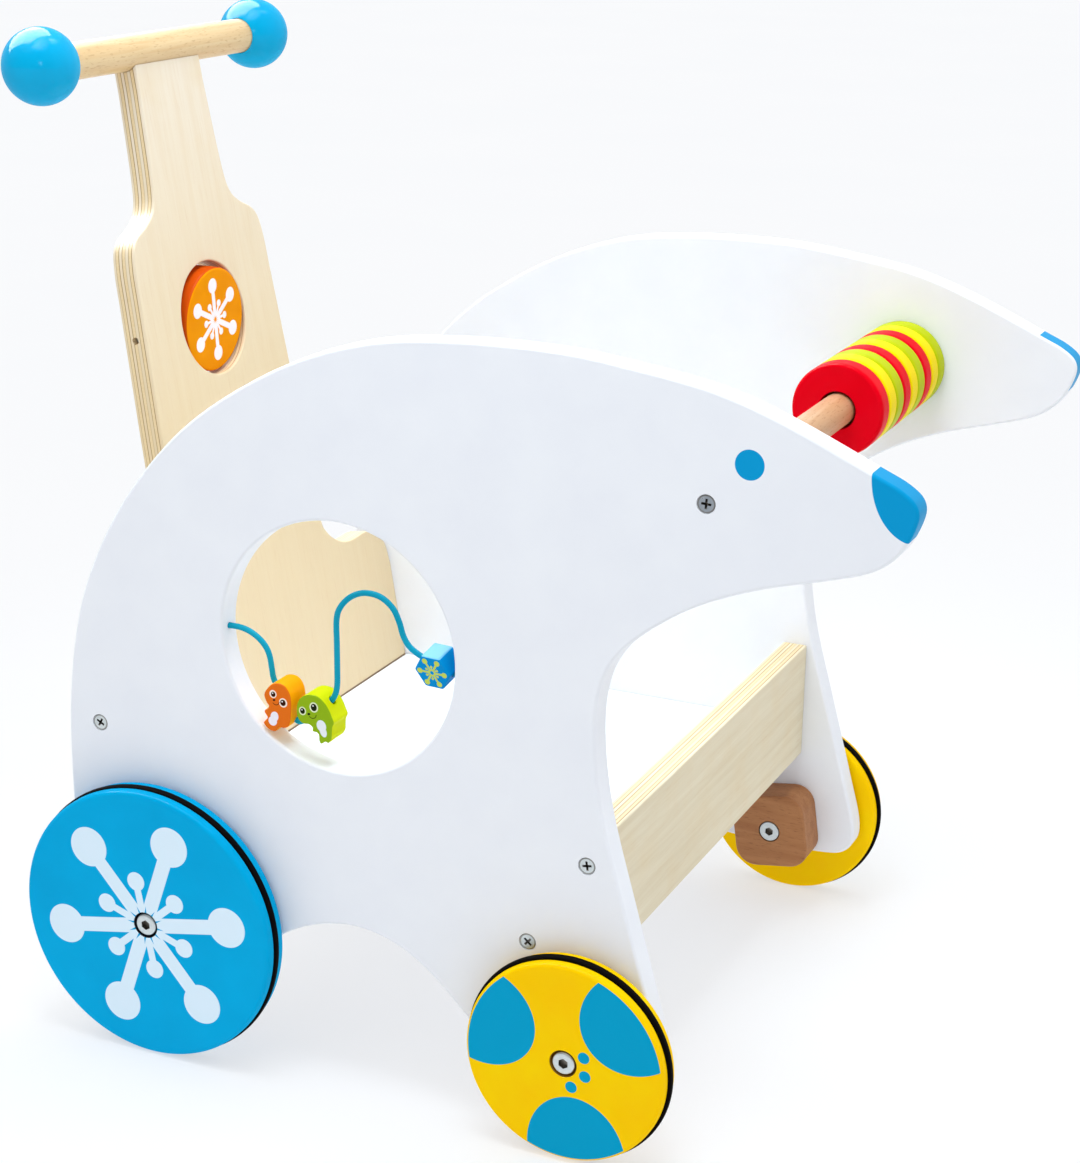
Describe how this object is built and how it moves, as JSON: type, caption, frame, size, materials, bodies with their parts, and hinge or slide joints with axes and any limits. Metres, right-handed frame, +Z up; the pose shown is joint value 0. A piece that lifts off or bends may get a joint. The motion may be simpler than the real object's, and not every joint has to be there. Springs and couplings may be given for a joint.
{
  "type": "baby push walker",
  "caption": "Wooden push walker with bear-shaped white sides, a plywood handle post with a grip bar, rolling wheels with rubber rings, a disc rod, a spinner and a wire bead maze",
  "frame": {"origin": "on the ground under the middle of the walker", "axes": "+X to the front, where the bear looks, +Y to the walker's left, +Z up"},
  "size_m": [0.475, 0.335, 0.4928],
  "materials": {
    "white_lacquer": "satin white lacquer on board",
    "plywood": "clear lacquered plywood with bare layered edges",
    "dowel_wood": "clear lacquered dowel",
    "brown_block": "oiled brown hardwood",
    "wheel_blue": "gloss blue paint with a white printed snowflake",
    "wheel_yellow": "gloss yellow paint with printed blue lobes and dots",
    "rubber_black": "matte black rubber ring",
    "ball_blue": "gloss blue paint",
    "spinner_orange": "gloss orange paint with a white printed snowflake",
    "zinc_steel": "bright zinc plating",
    "disc_red": "gloss red paint",
    "disc_yellow": "gloss yellow paint",
    "disc_green": "gloss lime green paint",
    "wire_blue": "blue powder coat",
    "bead_orange": "orange paint with a printed face",
    "bead_green": "green paint with a printed face",
    "bead_blue": "blue paint with a printed snowflake"
  },
  "bodies": {
    "frame": {"bead_rod": "dowel_wood", "front_board": "plywood", "front_left_axle_block": "brown_block", "front_left_axle_bolt": "zinc_steel", "front_left_axle_nut": "zinc_steel", "front_right_axle_block": "brown_block", "front_right_axle_bolt": "zinc_steel", "front_right_axle_nut": "zinc_steel", "handle_bar": "dowel_wood", "handle_post": "plywood", "left_front_screw": "zinc_steel", "left_handle_ball": "ball_blue", "left_rear_screw": "zinc_steel", "left_rod_screw": "zinc_steel", "left_side_panel": "white_lacquer", "left_tray_screw": "zinc_steel", "maze_wire": "wire_blue", "rear_left_axle_block": "brown_block", "rear_left_axle_bolt": "zinc_steel", "rear_left_axle_nut": "zinc_steel", "rear_right_axle_block": "brown_block", "rear_right_axle_bolt": "zinc_steel", "rear_right_axle_nut": "zinc_steel", "right_front_screw": "zinc_steel", "right_handle_ball": "ball_blue", "right_rear_screw": "zinc_steel", "right_rod_screw": "zinc_steel", "right_side_panel": "white_lacquer", "right_tray_screw": "zinc_steel", "spinner_pin": "zinc_steel", "tray_floor": "white_lacquer"},
    "rear_right_wheel_body": {"rear_right_wheel": "wheel_blue", "rear_right_tyre": "rubber_black"},
    "rear_left_wheel_body": {"rear_left_wheel": "wheel_blue", "rear_left_tyre": "rubber_black"},
    "front_right_wheel_body": {"front_right_wheel": "wheel_yellow", "front_right_tyre": "rubber_black"},
    "front_left_wheel_body": {"front_left_wheel": "wheel_yellow", "front_left_tyre": "rubber_black"},
    "spinner": {"spinner_disc": "spinner_orange"},
    "disc_1_red_body": {"disc_1_red": "disc_red"},
    "disc_2_yellow_body": {"disc_2_yellow": "disc_yellow"},
    "disc_3_green_body": {"disc_3_green": "disc_green"},
    "disc_4_red_body": {"disc_4_red": "disc_red"},
    "disc_5_yellow_body": {"disc_5_yellow": "disc_yellow"},
    "disc_6_green_body": {"disc_6_green": "disc_green"},
    "disc_7_red_body": {"disc_7_red": "disc_red"},
    "disc_8_yellow_body": {"disc_8_yellow": "disc_yellow"},
    "disc_9_green_body": {"disc_9_green": "disc_green"},
    "orange_bead_body": {"orange_bead": "bead_orange"},
    "green_bead_body": {"green_bead": "bead_green"},
    "block_bead_body": {"block_bead": "bead_blue"}
  },
  "joints": [
    {"name": "rear_right_wheel_turn", "type": "hinge", "parent": "frame", "child": "rear_right_wheel_body", "pos_m": [-0.132, -0.16035, 0.0711], "axis": [0, 1, 0], "continuous": true},
    {"name": "rear_left_wheel_turn", "type": "hinge", "parent": "frame", "child": "rear_left_wheel_body", "pos_m": [-0.132, 0.16035, 0.0711], "axis": [0, 1, 0], "continuous": true},
    {"name": "front_right_wheel_turn", "type": "hinge", "parent": "frame", "child": "front_right_wheel_body", "pos_m": [0.0932, -0.16035, 0.0511], "axis": [0, 1, 0], "continuous": true},
    {"name": "front_left_wheel_turn", "type": "hinge", "parent": "frame", "child": "front_left_wheel_body", "pos_m": [0.0932, 0.16035, 0.0511], "axis": [0, 1, 0], "continuous": true},
    {"name": "spinner_turn", "type": "hinge", "parent": "frame", "child": "spinner", "pos_m": [-0.19454, 0, 0.33648], "axis": [0, 1, 0], "continuous": true},
    {"name": "disc_9_slide", "type": "slide", "parent": "frame", "child": "disc_9_green_body", "axis": [0, -1, 0], "range_m": [0, 0.0181]},
    {"name": "disc_8_slide", "type": "slide", "parent": "disc_9_green_body", "child": "disc_8_yellow_body", "axis": [0, -1, 0], "range_m": [0, 0.0181]},
    {"name": "disc_7_slide", "type": "slide", "parent": "disc_8_yellow_body", "child": "disc_7_red_body", "axis": [0, -1, 0], "range_m": [0, 0.0181]},
    {"name": "disc_6_slide", "type": "slide", "parent": "disc_7_red_body", "child": "disc_6_green_body", "axis": [0, -1, 0], "range_m": [0, 0.0181]},
    {"name": "disc_5_slide", "type": "slide", "parent": "disc_6_green_body", "child": "disc_5_yellow_body", "axis": [0, -1, 0], "range_m": [0, 0.0181]},
    {"name": "disc_4_slide", "type": "slide", "parent": "disc_5_yellow_body", "child": "disc_4_red_body", "axis": [0, -1, 0], "range_m": [0, 0.0181]},
    {"name": "disc_3_slide", "type": "slide", "parent": "disc_4_red_body", "child": "disc_3_green_body", "axis": [0, -1, 0], "range_m": [0, 0.0181]},
    {"name": "disc_2_slide", "type": "slide", "parent": "disc_3_green_body", "child": "disc_2_yellow_body", "axis": [0, -1, 0], "range_m": [0, 0.0181]},
    {"name": "disc_1_slide", "type": "slide", "parent": "disc_2_yellow_body", "child": "disc_1_red_body", "axis": [0, -1, 0], "range_m": [0, 0.0181]},
    {"name": "orange_bead_turn", "type": "hinge", "parent": "frame", "child": "orange_bead_body", "pos_m": [-0.06395, -0.14425, 0.1949], "axis": [0.5182, 0, -0.8553], "range_deg": [-20, 20]},
    {"name": "green_bead_turn", "type": "hinge", "parent": "frame", "child": "green_bead_body", "pos_m": [-0.0459, -0.14425, 0.19145], "axis": [0.7691, 0, 0.6392], "range_deg": [-100, 100]},
    {"name": "block_bead_turn", "type": "hinge", "parent": "frame", "child": "block_bead_body", "pos_m": [0.0191, -0.14425, 0.22475], "axis": [0.95, 0, -0.3122], "continuous": true}
  ]
}
